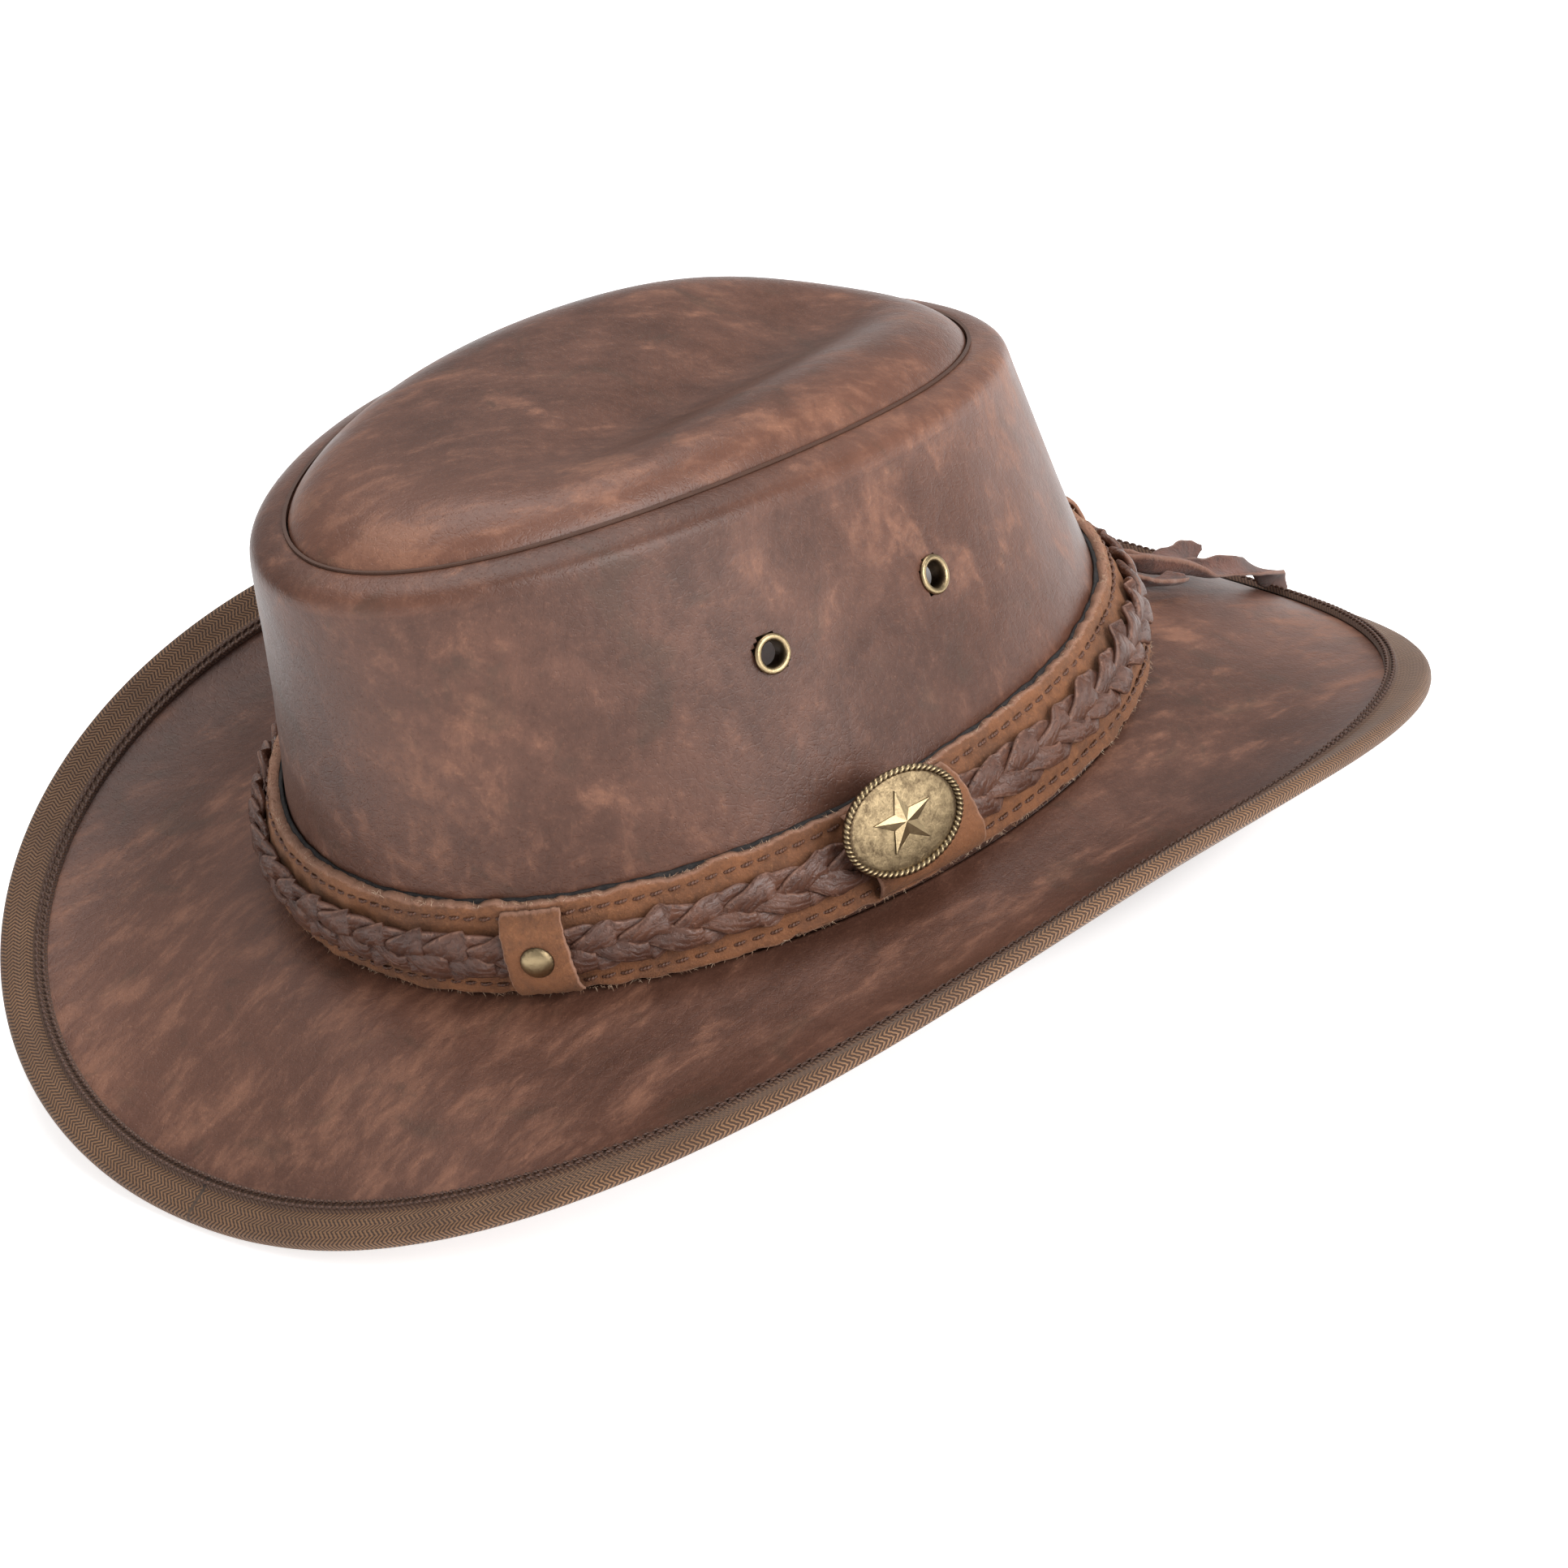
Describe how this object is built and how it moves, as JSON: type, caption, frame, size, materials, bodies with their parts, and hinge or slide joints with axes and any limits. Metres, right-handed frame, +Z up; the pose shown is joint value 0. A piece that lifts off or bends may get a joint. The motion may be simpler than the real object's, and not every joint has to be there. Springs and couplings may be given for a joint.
{
  "type": "cowboy hat",
  "caption": "Leather outback hat with a tapered creased crown, curled wired brim, vent eyelets and a removable braided hat band with badge and tails.",
  "frame": {"origin": "on the table under the middle of the brim, where the brim's lowest front and back edges rest", "axes": "+Z up; -Y the front of the hat; +Y the back; +X the wearer's left"},
  "size_m": [0.2732, 0.3389, 0.1373],
  "materials": {
    "crown_leather": "waxed, mottled, semi-gloss",
    "brim_leather": "waxed, mottled, semi-gloss",
    "lining_tape": "woven tape",
    "brown_thread": "waxed thread",
    "antique_brass": "aged brass",
    "binding_tape": "woven tape",
    "spring_steel": "plain",
    "sweatband_leather": "smooth",
    "black_backing": "matt",
    "tan_leather": "rough split leather",
    "braid_leather": "semi-gloss",
    "suede": "napped suede"
  },
  "bodies": {
    "hat": {"crown_side": "crown_leather", "crown_tip": "crown_leather", "crown_seam_tape": "lining_tape", "crown_seam_thread": "brown_thread", "crown_back_tape": "lining_tape", "crown_back_stitching": "brown_thread", "vent_eyelets": "antique_brass", "vent_washers": "antique_brass", "brim": "brim_leather", "brim_binding": "binding_tape", "binding_stitching": "brown_thread", "brim_wire": "spring_steel", "wire_sleeve": "antique_brass", "sweatband": "sweatband_leather", "sweatband_stitching": "brown_thread"},
    "band": {"band_backing": "black_backing", "band_strap": "tan_leather", "strap_stitching_upper": "brown_thread", "strap_stitching_lower": "brown_thread", "braid_strand_a": "braid_leather", "braid_strand_b": "braid_leather", "braid_strand_c": "braid_leather", "keeper_front": "tan_leather", "keeper_badge": "tan_leather", "keeper_back": "tan_leather", "keeper_rivet": "antique_brass", "badge": "antique_brass", "badge_post": "antique_brass"},
    "tail_long": {"tail_long": "suede"},
    "tail_short": {"tail_short": "suede"},
    "tail_stub": {"tail_stub": "suede"}
  },
  "joints": [
    {"name": "band_lift", "type": "slide", "parent": "hat", "child": "band", "axis": [0, -0.1123, 0.9937], "range_m": [0, 0.11]},
    {"name": "tail_long_lift", "type": "hinge", "parent": "band", "child": "tail_long", "pos_m": [0, 0.11295, 0.0443], "axis": [1, 0, 0], "range_deg": [0, 60]},
    {"name": "tail_short_lift", "type": "hinge", "parent": "band", "child": "tail_short", "pos_m": [0, 0.11295, 0.0443], "axis": [1, 0, 0], "range_deg": [0, 60]},
    {"name": "tail_stub_lift", "type": "hinge", "parent": "band", "child": "tail_stub", "pos_m": [0, 0.11295, 0.0443], "axis": [1, 0, 0], "range_deg": [0, 60]}
  ]
}
